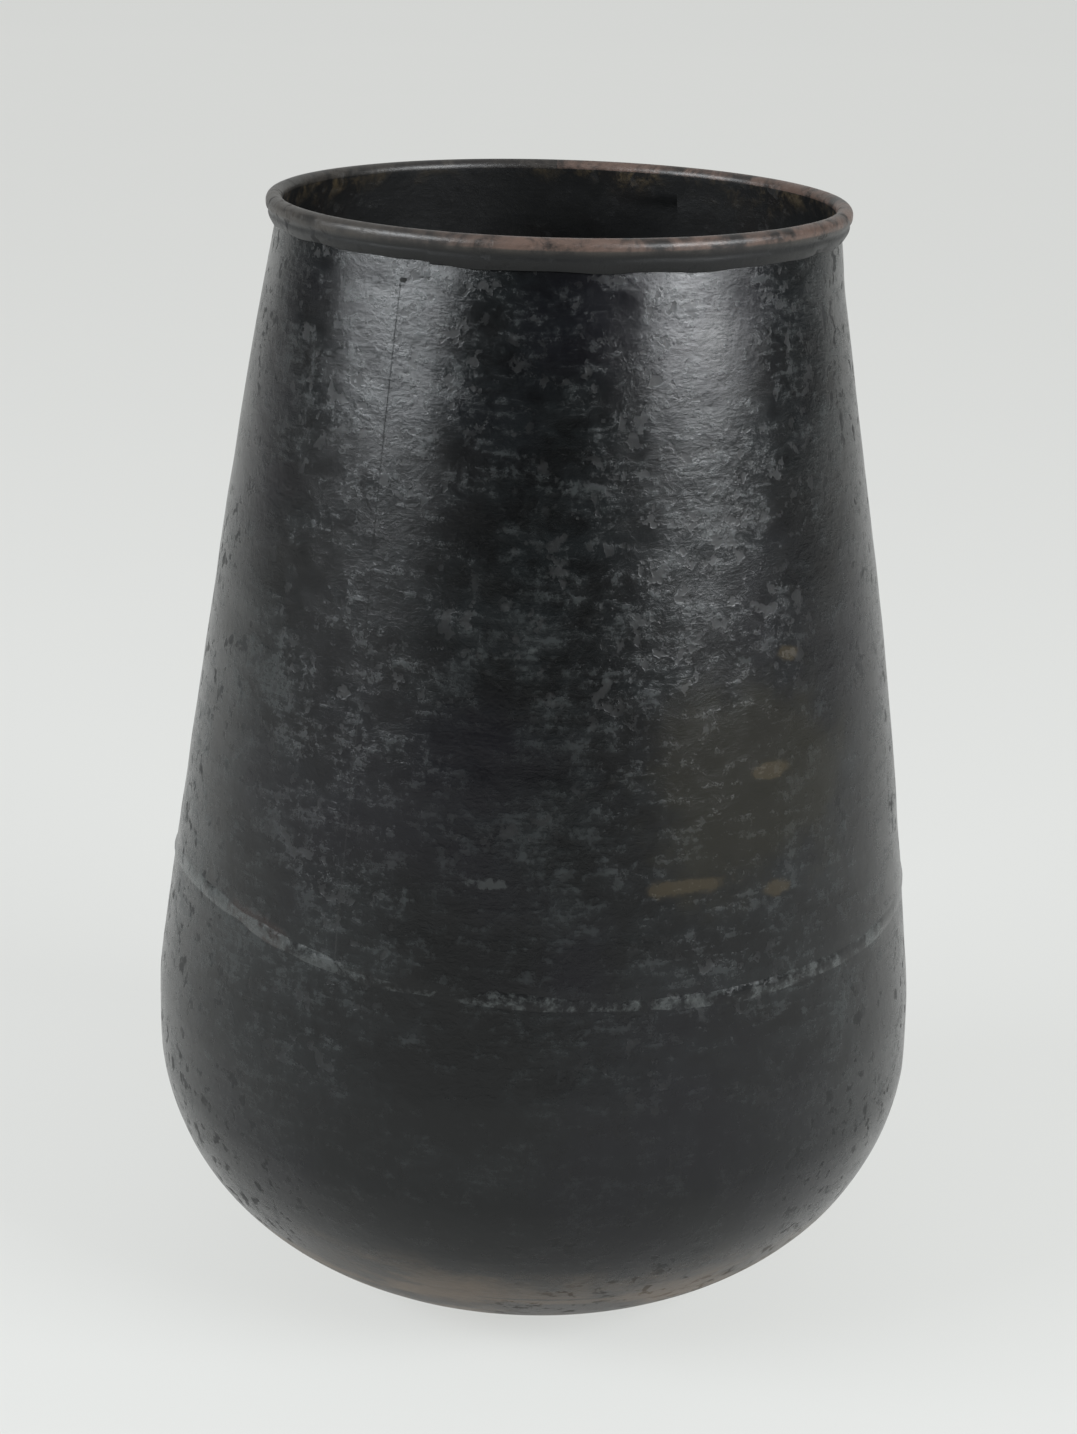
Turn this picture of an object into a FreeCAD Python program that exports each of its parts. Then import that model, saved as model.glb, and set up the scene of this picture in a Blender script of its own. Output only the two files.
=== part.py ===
import FreeCAD, Part
import math
import os

import Sketcher

# A tall open vessel beaten from copper sheet and blackened.
#
# It is seven pieces: a raised bowl with a flat foot, two bent sheets that make the wall, the wire
# that the rim is rolled over, and the brass filler in the belly seam and the two side seams.
# Nothing on it moves.
#
# Frame: +Z up, the origin at the middle of the foot, on the ground. -Y is the front, +X its right.
# An azimuth is measured from the front towards the right. All lengths are millimetres.

DRIVING = {
    # the whole vessel
    "overall_height": 400.0,
    "sheet": 1.2,
    # bowl, from the foot upwards: two arcs to the widest place, one arc above it, then straight
    "belly_radius": 141.7,
    "belly_height": 92.3,
    "side_arc": 89.7,
    "side_turn": 36.7,
    "shoulder_arc": 239.0,
    # belly seam, where the wall stands on the bowl's set-in collar
    "seam_radius": 135.55,
    "seam_height": 155.0,
    "seam_gap": 0.8,
    "collar_height": 12.0,
    "collar_root": 4.0,
    "lap_clearance": 0.1,
    # wall, one long shallow curve from the seam to the rim
    "wall_arc": 4928.0,
    # rim, rolled outwards over a wire, its flap dressed down on the wall
    "wire_radius": 1.7,
    "hoop_radius": 98.4,
    "flap_depth": 9.8,
    "flap_lean": 17.2,
    # the wall's two sheets: the right one is a little narrower, and each laps over the other
    "right_turn": 176.0,
    "lap_turn": 5.0,
    "joggle_turn": 2.0,
    "notch_depth": 11.0,
    # brass filler standing proud of the seams
    "bead_height": 0.8,
    "bead_turn": 0.6,
    "ridge_height": 0.25,
}
SEAM_AZIMUTH = -24.0  # the front side seam

ORIGIN = (-1, 1)  # a sketch's own origin point
START, END, CENTRE = 1, 2, 3  # the points of an arc or a line

doc = FreeCAD.newDocument("vessel")
book = doc.addObject("Spreadsheet::Sheet", "Sizes")
for row, (alias, value) in enumerate(DRIVING.items(), start=1):
    book.set(f"A{row}", alias)
    book.set(f"B{row}", str(value))
    book.setAlias(f"B{row}", alias)
doc.recompute()


def size(alias):
    """A driving dimension, read back from the sheet."""
    return float(getattr(book, alias))


def new_body(name, turn=0.0):
    """A named body, turned about the vessel's axis by an angle in degrees."""
    body = doc.addObject("PartDesign::Body", name)
    body.Label = name
    upright = FreeCAD.Vector(0, 0, 1)
    body.Placement = FreeCAD.Placement(FreeCAD.Vector(0, 0, 0), FreeCAD.Rotation(upright, turn))
    return body


def new_section(body, name):
    """A sketch on the body's own XZ plane: its x is the radius and its y the height."""
    plane = next(item for item in body.Origin.OriginFeatures if item.Role == "XZ_Plane")
    sketch = body.newObject("Sketcher::SketchObject", name)
    sketch.AttachmentSupport = [(plane, "")]
    sketch.MapMode = "FlatFace"
    return sketch


def add_line(sketch, start, end):
    """A straight edge between two (radius, height) points; returns its index."""
    return sketch.addGeometry(Part.LineSegment(FreeCAD.Vector(*start, 0), FreeCAD.Vector(*end, 0)))


def add_arc(sketch, centre, radius, low, high):
    """An arc that runs anticlockwise between two angles in degrees; returns its index."""
    circle = Part.Circle(FreeCAD.Vector(*centre, 0), FreeCAD.Vector(0, 0, 1), radius)
    return sketch.addGeometry(Part.ArcOfCircle(circle, math.radians(low), math.radians(high)))


def join(sketch, *pairs):
    """Makes the points of each pair one point."""
    for first, second in pairs:
        sketch.addConstraint(Sketcher.Constraint("Coincident", *first, *second))


def smooth(sketch, *pairs):
    """Makes the edges of each pair run into each other at their shared end."""
    for first, second in pairs:
        sketch.addConstraint(Sketcher.Constraint("Tangent", *first, *second))


def relate(sketch, kind, *edges):
    """Adds a relation that has no size, such as Horizontal or Parallel."""
    sketch.addConstraint(Sketcher.Constraint(kind, *edges))


def dimension(sketch, name, kind, places, value, formula):
    """Adds a dimension and binds it to the sheet."""
    index = sketch.addConstraint(Sketcher.Constraint(kind, *places, value))
    sketch.renameConstraint(index, name)
    sketch.setExpression(f"Constraints.{name}", formula)


def place(sketch, name, point, radius, height):
    """Dimensions a point from the foot's middle: (value, formula) for its radius and its height."""
    dimension(sketch, f"{name}_radius", "DistanceX", (*ORIGIN, *point), *radius)
    dimension(sketch, f"{name}_height", "DistanceY", (*ORIGIN, *point), *height)


def revolve(body, sketch, name, turn, back=None):
    """Turns a section about the vessel's axis; turn and back are formulas in degrees."""
    feature = body.newObject("PartDesign::Revolution", name)
    feature.Profile = sketch
    feature.ReferenceAxis = (sketch, ["V_Axis"])
    if back:
        feature.Type = "TwoAngles"
        feature.setExpression("Angle2", back)
    feature.setExpression("Angle", turn)
    body.Tip = feature


def on_circle(centre, radius, angle):
    """The point of a circle at an angle in degrees."""
    turn = math.radians(angle)
    return centre[0] + radius * math.cos(turn), centre[1] + radius * math.sin(turn)


def wall_curve():
    """Centre of the wall's long arc, and its angles at the seam and at the wire.

    The arc passes through the wall's foot on the seam and touches the wire, so its centre is one
    wall_arc from the first and one wall_arc plus the wire's radius from the wire's middle.
    """
    foot = (size("seam_radius"), size("seam_height") + size("seam_gap"))
    wire = (size("hoop_radius"), wire_height())
    to_foot = size("wall_arc")
    to_wire = to_foot + size("wire_radius")
    span = math.dist(foot, wire)
    along = (to_foot**2 - to_wire**2 + span**2) / (2 * span)
    aside = math.sqrt(to_foot**2 - along**2)
    run = ((wire[0] - foot[0]) / span, (wire[1] - foot[1]) / span)
    centre = (foot[0] + along * run[0] - aside * run[1], foot[1] + along * run[1] + aside * run[0])
    angles = [math.degrees(math.atan2(y - centre[1], x - centre[0])) for x, y in (foot, wire)]
    return centre, *angles


def wire_height():
    """Height of the wire's middle: the rolled sheet over it is the top of the vessel."""
    return size("overall_height") - size("sheet") - size("wire_radius")


WIRE_HEIGHT = "Sizes.overall_height - Sizes.sheet - Sizes.wire_radius"
WALL_FOOT = "Sizes.seam_height + Sizes.seam_gap"


def bowl():
    """The lower part, raised from one disc: flat foot, round side, and a collar set in by a sheet."""
    sheet, seam = size("sheet"), size("seam_height")
    body = new_body("raised_bowl")
    section = new_section(body, "bowl_section")

    # the corner arc is the one that meets both the side arc and the ground
    turn = math.radians(size("side_turn"))
    side_centre = (size("belly_radius") - size("side_arc"), size("belly_height"))
    fall = size("belly_height") - size("side_arc") * math.sin(turn)
    corner_arc = fall / (1 - math.sin(turn))
    step = size("side_arc") - corner_arc
    corner_centre = (side_centre[0] + step * math.cos(turn), corner_arc)
    shoulder_centre = (size("belly_radius") - size("shoulder_arc"), size("belly_height"))

    # the straight above the shoulder leaves its arc where the line to the seam touches it
    reach = (size("seam_radius") - shoulder_centre[0], seam - shoulder_centre[1])
    aim = math.degrees(math.atan2(reach[1], reach[0]))
    lean = aim - math.degrees(math.acos(size("shoulder_arc") / math.hypot(*reach)))
    slope = -math.tan(math.radians(lean))

    def shell(depth):
        """The foot, the three arcs and the straight, at a depth below the outer face."""
        corner = add_arc(section, corner_centre, corner_arc - depth, -90, -size("side_turn"))
        side = add_arc(section, side_centre, size("side_arc") - depth, -size("side_turn"), 0)
        shoulder = add_arc(section, shoulder_centre, size("shoulder_arc") - depth, 0, lean)
        foot = add_line(section, (0, depth), (corner_centre[0], depth))
        low = on_circle(shoulder_centre, size("shoulder_arc") - depth, lean)
        top = seam - (size("collar_root") if depth else 0)
        straight = add_line(section, low, (low[0] + slope * (top - low[1]), top))
        smooth(section, ((foot, END), (corner, START)), ((corner, END), (side, START)))
        smooth(section, ((side, END), (shoulder, START)), ((shoulder, END), (straight, START)))
        relate(section, "Horizontal", foot)
        return foot, corner, side, shoulder, straight

    outer = shell(0)
    inner = shell(sheet)
    foot, corner, side, shoulder, straight = outer
    axis = add_line(section, (0, sheet), (0, 0))
    ledge_end = size("seam_radius") - sheet - size("lap_clearance")
    ledge = add_line(section, (size("seam_radius"), seam), (ledge_end, seam))
    collar_top = (ledge_end + slope * size("collar_height"), seam + size("collar_height"))
    collar_out = add_line(section, (ledge_end, seam), collar_top)
    lip = add_line(section, collar_top, (collar_top[0] - sheet, collar_top[1]))
    root = seam - size("collar_root")
    root_end = (ledge_end - sheet - slope * size("collar_root"), root)
    collar_in = add_line(section, (collar_top[0] - sheet, collar_top[1]), root_end)
    thickness = sheet / math.cos(math.atan(slope))
    inner_top = (size("seam_radius") - slope * size("collar_root") - thickness, root)
    root_step = add_line(section, root_end, inner_top)

    join(section, ((axis, END), (foot, START)), ((axis, START), (inner[0], START)))
    join(section, ((foot, START), ORIGIN))
    relate(section, "Vertical", axis)
    for pair in zip(outer[1:4], inner[1:4]):
        join(section, ((pair[0], CENTRE), (pair[1], CENTRE)))
    relate(section, "Parallel", straight, inner[4])
    join(section, ((straight, END), (ledge, START)), ((ledge, END), (collar_out, START)))
    join(section, ((collar_out, END), (lip, START)), ((lip, END), (collar_in, START)))
    join(section, ((collar_in, END), (root_step, START)), ((root_step, END), (inner[4], END)))
    for edge in (ledge, lip, root_step):
        relate(section, "Horizontal", edge)
    relate(section, "Parallel", straight, collar_out)
    relate(section, "Parallel", straight, collar_in)

    dimension(section, "bottom", "DistanceY", (axis, END, axis, START), sheet, "Sizes.sheet")
    dimension(section, "side_arc", "Radius", (side,), size("side_arc"), "Sizes.side_arc")
    dimension(section, "shoulder_arc", "Radius", (shoulder,), size("shoulder_arc"), "Sizes.shoulder_arc")
    place(section, "belly", (side, END), (size("belly_radius"), "Sizes.belly_radius"),
          (size("belly_height"), "Sizes.belly_height"))
    relate(section, "Horizontal", side, CENTRE, side, END)
    dimension(section, "side_turn", "Angle", (side,), turn, "Sizes.side_turn * 1 deg")
    place(section, "seam", (straight, END), (size("seam_radius"), "Sizes.seam_radius"),
          (seam, "Sizes.seam_height"))
    dimension(section, "ledge", "DistanceX", (ledge, END, ledge, START), sheet + size("lap_clearance"),
              "Sizes.sheet + Sizes.lap_clearance")
    dimension(section, "lip", "DistanceX", (lip, END, lip, START), sheet, "Sizes.sheet")
    dimension(section, "collar", "DistanceY", (collar_out, START, collar_out, END),
              size("collar_height"), "Sizes.collar_height")
    dimension(section, "root", "DistanceY", (collar_in, END, collar_out, START),
              size("collar_root"), "Sizes.collar_root")
    revolve(body, section, "bowl_turned", "360")
    return body


def wall_sheet(name, turn, spread):
    """One of the wall's two sheets, bent from flat, with its rim rolled over the wire.

    It starts at a turn and covers a spread. Its first edge is joggled out by a sheet to lap over
    the other one. The joggle is a square step, and the lap stops short of the rim so that the roll
    is one sheet thick all round.
    """
    sheet, wire = size("sheet"), size("wire_radius")
    centre, low, high = wall_curve()
    middle = (size("hoop_radius"), wire_height())
    lean = size("flap_lean")
    body = new_body(name, turn)
    section = new_section(body, f"{name}_section")

    face_out = add_arc(section, centre, size("wall_arc"), low, high)
    face_in = add_arc(section, centre, size("wall_arc") - sheet, low, high)
    roll_out = add_arc(section, middle, wire + sheet, -lean, 180 + high)
    roll_in = add_arc(section, middle, wire, -lean, 180 + high)
    run = (-math.sin(math.radians(lean)), -math.cos(math.radians(lean)))
    flap_in_start = on_circle(middle, wire, -lean)
    flap_out_start = on_circle(middle, wire + sheet, -lean)
    length = (flap_in_start[1] - size("overall_height") + size("flap_depth")) / -run[1]
    flap_in_end = (flap_in_start[0] + run[0] * length, flap_in_start[1] + run[1] * length)
    flap_out_end = (flap_out_start[0] + run[0] * length, flap_out_start[1] + run[1] * length)
    flap_out = add_line(section, flap_out_start, flap_out_end)
    flap_in = add_line(section, flap_in_start, flap_in_end)
    flap_edge = add_line(section, flap_out_end, flap_in_end)
    foot = on_circle(centre, size("wall_arc"), low)
    foot_edge = add_line(section, foot, (foot[0] - sheet, foot[1]))

    join(section, ((face_out, CENTRE), (face_in, CENTRE)), ((roll_out, CENTRE), (roll_in, CENTRE)))
    join(section, ((foot_edge, START), (face_out, START)), ((foot_edge, END), (face_in, START)))
    join(section, ((flap_out, END), (flap_edge, START)), ((flap_in, END), (flap_edge, END)))
    smooth(section, ((face_in, END), (roll_out, END)), ((face_out, END), (roll_in, END)))
    smooth(section, ((flap_out, START), (roll_out, START)), ((flap_in, START), (roll_in, START)))
    relate(section, "Horizontal", foot_edge)
    relate(section, "Perpendicular", flap_out, flap_edge)
    relate(section, "Parallel", flap_out, flap_in)
    dimension(section, "wall_arc", "Radius", (face_out,), size("wall_arc"), "Sizes.wall_arc")
    dimension(section, "wall_inside", "Radius", (face_in,), size("wall_arc") - sheet,
              "Sizes.wall_arc - Sizes.sheet")
    dimension(section, "wire", "Radius", (roll_in,), wire, "Sizes.wire_radius")
    place(section, "hoop", (roll_in, CENTRE), (middle[0], "Sizes.hoop_radius"), (middle[1], WIRE_HEIGHT))
    place(section, "foot", (face_out, START), (foot[0], "Sizes.seam_radius"), (foot[1], WALL_FOOT))
    dimension(section, "flap_height", "DistanceY", (*ORIGIN, flap_in, END), flap_in_end[1],
              "Sizes.overall_height - Sizes.flap_depth")
    dimension(section, "flap_lean", "Angle", (-2, 1, flap_in, END), math.radians(lean),
              "Sizes.flap_lean * 1 deg")
    revolve(body, section, f"{name}_turned", spread)

    strip = lap_section(body, f"{name}_lap", sheet, "Sizes.sheet")
    revolve(body, strip, f"{name}_joggled", "Sizes.joggle_turn", "Sizes.lap_turn")
    return body


def lap_section(body, name, height, formula):
    """A strip lying on the wall's outer face, from the belly seam to the notch under the rim."""
    centre, low, _ = wall_curve()
    top = size("overall_height") - size("notch_depth")
    high = math.degrees(math.asin((top - centre[1]) / size("wall_arc")))
    section = new_section(body, name)
    under = add_arc(section, centre, size("wall_arc"), low, high)
    over = add_arc(section, centre, size("wall_arc") + height, low, high)
    foot = on_circle(centre, size("wall_arc"), low)
    head = on_circle(centre, size("wall_arc"), high)
    foot_edge = add_line(section, foot, (foot[0] + height, foot[1]))
    head_edge = add_line(section, head, (head[0] + height, head[1]))
    wire = section.addGeometry(Part.Circle(FreeCAD.Vector(size("hoop_radius"), wire_height(), 0),
                                           FreeCAD.Vector(0, 0, 1), size("wire_radius")), True)
    join(section, ((under, CENTRE), (over, CENTRE)))
    join(section, ((foot_edge, START), (under, START)), ((foot_edge, END), (over, START)))
    join(section, ((head_edge, START), (under, END)), ((head_edge, END), (over, END)))
    relate(section, "Horizontal", foot_edge)
    relate(section, "Horizontal", head_edge)
    relate(section, "Tangent", under, wire)
    dimension(section, "under", "Radius", (under,), size("wall_arc"), "Sizes.wall_arc")
    dimension(section, "over", "Radius", (over,), size("wall_arc") + height, f"Sizes.wall_arc + {formula}")
    dimension(section, "wire", "Radius", (wire,), size("wire_radius"), "Sizes.wire_radius")
    place(section, "hoop", (wire, CENTRE), (size("hoop_radius"), "Sizes.hoop_radius"),
          (wire_height(), WIRE_HEIGHT))
    place(section, "foot", (under, START), (foot[0], "Sizes.seam_radius"), (foot[1], WALL_FOOT))
    dimension(section, "head_height", "DistanceY", (*ORIGIN, under, END), top,
              "Sizes.overall_height - Sizes.notch_depth")
    return section


def rim_wire():
    """The closed hoop that the rim is rolled over; the roll hides it all round."""
    body = new_body("rim_wire")
    section = new_section(body, "wire_section")
    middle = (size("hoop_radius"), wire_height())
    ring = section.addGeometry(Part.Circle(FreeCAD.Vector(*middle, 0), FreeCAD.Vector(0, 0, 1),
                                           size("wire_radius")))
    dimension(section, "wire", "Radius", (ring,), size("wire_radius"), "Sizes.wire_radius")
    place(section, "hoop", (ring, CENTRE), (middle[0], "Sizes.hoop_radius"), (middle[1], WIRE_HEIGHT))
    revolve(body, section, "wire_turned", "360")
    return body


def belly_filler():
    """Brass between the bowl's ledge and the wall's edge, standing proud as a low round ridge."""
    body = new_body("belly_seam_filler")
    section = new_section(body, "belly_filler_section")
    low, gap = size("seam_height"), size("seam_gap")
    out = size("seam_radius")
    back = out - size("sheet") - size("lap_clearance")
    ridge = size("ridge_height")
    bulge = ridge / 2 + gap**2 / (8 * ridge)
    centre = (out + ridge - bulge, low + gap / 2)
    half = math.degrees(math.asin(gap / 2 / bulge))
    face = add_arc(section, centre, bulge, -half, half)
    under = add_line(section, (back, low), (out, low))
    rear = add_line(section, (back, low + gap), (back, low))
    over = add_line(section, (out, low + gap), (back, low + gap))
    join(section, ((under, END), (face, START)), ((face, END), (over, START)))
    join(section, ((over, END), (rear, START)), ((rear, END), (under, START)))
    relate(section, "Horizontal", under)
    relate(section, "Horizontal", over)
    relate(section, "Vertical", rear)
    place(section, "face", (face, START), (out, "Sizes.seam_radius"), (low, "Sizes.seam_height"))
    dimension(section, "face_top", "DistanceX", (*ORIGIN, face, END), out, "Sizes.seam_radius")
    dimension(section, "gap", "DistanceY", (rear, END, rear, START), gap, "Sizes.seam_gap")
    dimension(section, "depth", "DistanceX", (under, START, under, END), out - back,
              "Sizes.sheet + Sizes.lap_clearance")
    dimension(section, "ridge", "Radius", (face,), bulge,
              "Sizes.ridge_height / 2 + Sizes.seam_gap ^ 2 / (8 * Sizes.ridge_height)")
    revolve(body, section, "belly_filler_turned", "360")
    return body


def side_filler(name, seam_turn):
    """Brass run along the outside of a lapped edge, in the corner that the edge makes."""
    body = new_body(name, seam_turn - size("lap_turn") - size("bead_turn"))
    section = lap_section(body, f"{name}_section", size("bead_height"), "Sizes.bead_height")
    revolve(body, section, f"{name}_turned", "Sizes.bead_turn")
    return body


front_seam = SEAM_AZIMUTH - 90.0  # a turn about +Z starts from +X, an azimuth from -Y
back_seam = front_seam + size("right_turn")
pieces = [
    bowl(),
    wall_sheet("wall_sheet_right", front_seam, "Sizes.right_turn"),
    wall_sheet("wall_sheet_left", back_seam, "360 - Sizes.right_turn"),
    rim_wire(),
    belly_filler(),
    side_filler("front_seam_filler", front_seam),
    side_filler("back_seam_filler", back_seam),
]
doc.recompute()

for item in doc.Objects:
    faults = [state for state in item.State if state in ("Invalid", "Error")]
    if faults:
        raise RuntimeError(f"{item.Name} did not compute: {faults}")
    if item.TypeId == "Sketcher::SketchObject" and not item.FullyConstrained:
        raise RuntimeError(f"{item.Name} is not fully constrained")
for piece in pieces:
    if piece.Shape.isNull() or not piece.Shape.isValid() or len(piece.Shape.Solids) != 1:
        raise RuntimeError(f"{piece.Label} is not one valid solid")

os.makedirs("parts", exist_ok=True)
for piece in pieces:
    piece.Shape.exportStep(f"parts/{piece.Label}.step")
    box = piece.Shape.BoundBox
    print(f"{piece.Label}: {piece.Shape.Volume / 1000:.2f} cm3, x {box.XMin:.1f} to {box.XMax:.1f}, "
          f"y {box.YMin:.1f} to {box.YMax:.1f}, z {box.ZMin:.1f} to {box.ZMax:.1f}")
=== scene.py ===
# %% [markdown]
# # A vessel beaten from copper sheet
#
# The vessel is a raised bowl, a wall of two bent sheets, a rim rolled over wire, and brass in the
# seams. The engineering model holds its sizes. It is perfectly round, and hammered copper is not,
# so each piece is built again here as a dense sheet of faces that can carry dents, laps and a
# rim that isn't quite true. Sizes come from the engineering model wherever it has them.

# %% Load the engineering model
import math

import bpy
import numpy as np
from mathutils import Matrix, Vector


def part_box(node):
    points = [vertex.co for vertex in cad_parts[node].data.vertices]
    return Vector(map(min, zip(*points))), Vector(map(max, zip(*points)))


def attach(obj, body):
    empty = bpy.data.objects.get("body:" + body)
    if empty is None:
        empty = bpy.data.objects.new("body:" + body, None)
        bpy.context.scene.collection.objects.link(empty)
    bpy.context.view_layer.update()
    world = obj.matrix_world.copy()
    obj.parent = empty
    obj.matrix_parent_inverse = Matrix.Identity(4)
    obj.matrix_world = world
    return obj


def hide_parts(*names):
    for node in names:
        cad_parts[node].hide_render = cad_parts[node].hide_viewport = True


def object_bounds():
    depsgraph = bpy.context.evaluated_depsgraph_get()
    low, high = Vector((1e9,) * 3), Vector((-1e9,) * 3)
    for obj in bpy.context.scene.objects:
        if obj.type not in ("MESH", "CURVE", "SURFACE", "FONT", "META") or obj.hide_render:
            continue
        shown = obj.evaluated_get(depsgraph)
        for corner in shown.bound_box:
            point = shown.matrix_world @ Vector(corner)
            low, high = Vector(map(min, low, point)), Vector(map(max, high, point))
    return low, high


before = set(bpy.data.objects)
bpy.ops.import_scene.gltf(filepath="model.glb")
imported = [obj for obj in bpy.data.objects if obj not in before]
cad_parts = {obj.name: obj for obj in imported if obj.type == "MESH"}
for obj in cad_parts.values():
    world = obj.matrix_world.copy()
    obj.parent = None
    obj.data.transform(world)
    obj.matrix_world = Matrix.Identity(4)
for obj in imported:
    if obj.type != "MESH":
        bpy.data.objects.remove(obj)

cad_low, cad_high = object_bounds()
print("engineering model, metres:", [round(v, 4) for v in (*cad_low, *cad_high)])

# %% [markdown]
# ## Sizes
#
# The wire's box gives the wire and the hoop. What stands above the wire is one sheet. The belly
# filler's box gives the seam. Only the arcs of the outline have to be written down again.

# %% Sizes read from the model, in metres
MM = 0.001
wire_low, wire_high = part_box("rim_wire")
seam_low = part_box("belly_seam_filler")[0]
wall_low, wall_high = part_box("wall_sheet_left")
bowl_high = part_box("raised_bowl")[1]

HEIGHT = cad_high.z
SHEET = round(HEIGHT - wire_high.z, 4)
WIRE = (wire_high.z - wire_low.z) / 2
WIRE_Z = (wire_high.z + wire_low.z) / 2
HOOP = wire_high.x - WIRE
SEAM_Z = seam_low.z
WALL_Z = wall_low.z
WALL_R = wall_high.y
COLLAR_Z = bowl_high.z
BELLY_R = bowl_high.x

# the outline's arcs
BELLY_Z = 92.3 * MM
SIDE_ARC = 89.7 * MM
SIDE_TURN = math.radians(36.7)
SHOULDER_ARC = 239 * MM
WALL_ARC = 4928 * MM
LAP_CLEARANCE = 0.1 * MM

# the side seams, as degrees round from the front towards the right
FRONT_SEAM = -24.0
RIGHT_TURN = 176.0
LAP_TURN = 5.0
JOGGLE_TURN = 16.0

# the lap tongue, the end of the joggle below the rim, and the flap's lower edge
TONGUE_Z = HEIGHT - 16 * MM
JOGGLE_LOW, JOGGLE_TOP = 384 * MM, 389 * MM
LAP_THINNING = 0.95
FLAP_Z = HEIGHT - 9.8 * MM

# how far the mouth was pulled out on the right, and how near the widest place may come to the model
MOUTH_PULL = 1.9 * MM
BELLY_ROOM = 0.9 * MM

# rows of points up the wall, over the wire and down the flap, and the steps up a side run
WALL_ROWS, ROLL_ROWS, FLAP_ROWS = 140, 21, 14
RUN_STEPS = 130
print(f"sheet {SHEET / MM:.2f} mm, wire {2 * WIRE / MM:.2f} mm, hoop {HOOP / MM:.1f} mm, "
      f"seam {SEAM_Z / MM:.1f} mm, belly {BELLY_R / MM:.1f} mm, wall foot {WALL_R / MM:.2f} mm")

# %% [markdown]
# ## Outlines
#
# An outline is a list of (radius, height) points on the outer face. The bowl is a flat foot and
# three arcs that run into each other, then a straight. The wall is one very shallow arc.


# %% Arcs and the two outlines
def arc(centre, radius, start, end, count):
    """Points along an arc between two angles in radians."""
    turn = np.linspace(start, end, count)
    return np.stack([centre[0] + radius * np.cos(turn), centre[1] + radius * np.sin(turn)], 1)


def straight(start, end, count):
    return np.linspace(start, end, count)


fall = BELLY_Z - SIDE_ARC * math.sin(SIDE_TURN)
corner_arc = fall / (1 - math.sin(SIDE_TURN))
side_centre = (BELLY_R - SIDE_ARC, BELLY_Z)
corner_centre = (side_centre[0] + (SIDE_ARC - corner_arc) * math.cos(SIDE_TURN), corner_arc)
shoulder_centre = (BELLY_R - SHOULDER_ARC, BELLY_Z)
reach = (WALL_R - shoulder_centre[0], SEAM_Z - shoulder_centre[1])
shoulder_turn = math.atan2(reach[1], reach[0]) - math.acos(SHOULDER_ARC / math.hypot(*reach))

wall_foot, wire_centre = (WALL_R, WALL_Z), (HOOP, WIRE_Z)
span = math.dist(wall_foot, wire_centre)
run = ((HOOP - WALL_R) / span, (WIRE_Z - WALL_Z) / span)
along = (WALL_ARC**2 - (WALL_ARC + WIRE) ** 2 + span**2) / (2 * span)
aside = math.sqrt(WALL_ARC**2 - along**2)
wall_centre = (WALL_R + along * run[0] - aside * run[1], WALL_Z + along * run[1] + aside * run[0])
wall_start = math.atan2(WALL_Z - wall_centre[1], WALL_R - wall_centre[0])
wall_end = math.atan2(WIRE_Z - wall_centre[1], HOOP - wall_centre[0])


def bowl_arcs(depth):
    """The bowl's foot, three arcs and straight, at a depth below its outer face."""
    top = (WALL_R - depth / math.cos(shoulder_turn), SEAM_Z)
    low = arc(shoulder_centre, SHOULDER_ARC - depth, shoulder_turn, shoulder_turn, 1)[0]
    return np.concatenate([
        straight((0.002, depth), (corner_centre[0], depth), 9)[:-1],
        arc(corner_centre, corner_arc - depth, -math.pi / 2, -SIDE_TURN, 44)[:-1],
        arc(side_centre, SIDE_ARC - depth, -SIDE_TURN, 0, 28)[:-1],
        arc(shoulder_centre, SHOULDER_ARC - depth, 0, shoulder_turn, 15)[:-1],
        straight(low, top, 17),
    ])


outline = np.concatenate([bowl_arcs(0), arc(wall_centre, WALL_ARC, wall_start, wall_end, 120)])


def outer_radius(height):
    """The round vessel's outer radius at a height."""
    return np.interp(height, outline[:, 1], outline[:, 0])


print("outer radius at 50, 150, 250, 350 mm:",
      [round(float(outer_radius(h * MM)) / MM, 1) for h in (50, 150, 250, 350)])

# %% [markdown]
# ## Smooth randomness
#
# A dent is a smooth bump of a chosen size. Random numbers on a coarse net, joined by a cubic
# curve each way, give just that, and the net closes on itself round the vessel so that no seam
# shows. The curve flattens the random numbers, and NET_GAIN brings them back to about 1. Each
# net has its own seed, so every run gives the same vessel.


# %% A smooth random field round the vessel
def cubic_weights(part):
    """Weights of the four neighbours in a smooth cubic curve."""
    return [(1 - part) ** 3 / 6, (3 * part**3 - 6 * part**2 + 4) / 6,
            (-3 * part**3 + 3 * part**2 + 3 * part + 1) / 6, part**3 / 6]


NET_RADIUS = 120 * MM
NET_GAIN = 1.8


def hammered(azimuth, height, across, tall, seed):
    """A smooth field of about -1 to 1, with bumps of a width and a height in metres."""
    columns = max(6, round(2 * math.pi * NET_RADIUS / across))
    rows = int(HEIGHT / tall) + 8
    net = np.random.default_rng(seed).uniform(-1, 1, (rows, columns))
    u = (azimuth % 360) / 360 * columns
    v = np.clip(height / tall + 3, 0, rows - 5)
    iu, iv = np.floor(u).astype(int), np.floor(v).astype(int)
    total = np.zeros(np.broadcast(u, v).shape)
    for j, weight_v in enumerate(cubic_weights(v - iv)):
        for i, weight_u in enumerate(cubic_weights(u - iu)):
            total += weight_u * weight_v * net[(iv + j) % rows, (iu + i) % columns]
    return total * NET_GAIN


def ease(value, low, high):
    """0 below low, 1 above high, and a smooth step between."""
    part = np.clip((value - low) / (high - low), 0, 1)
    return part * part * (3 - 2 * part)


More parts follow.
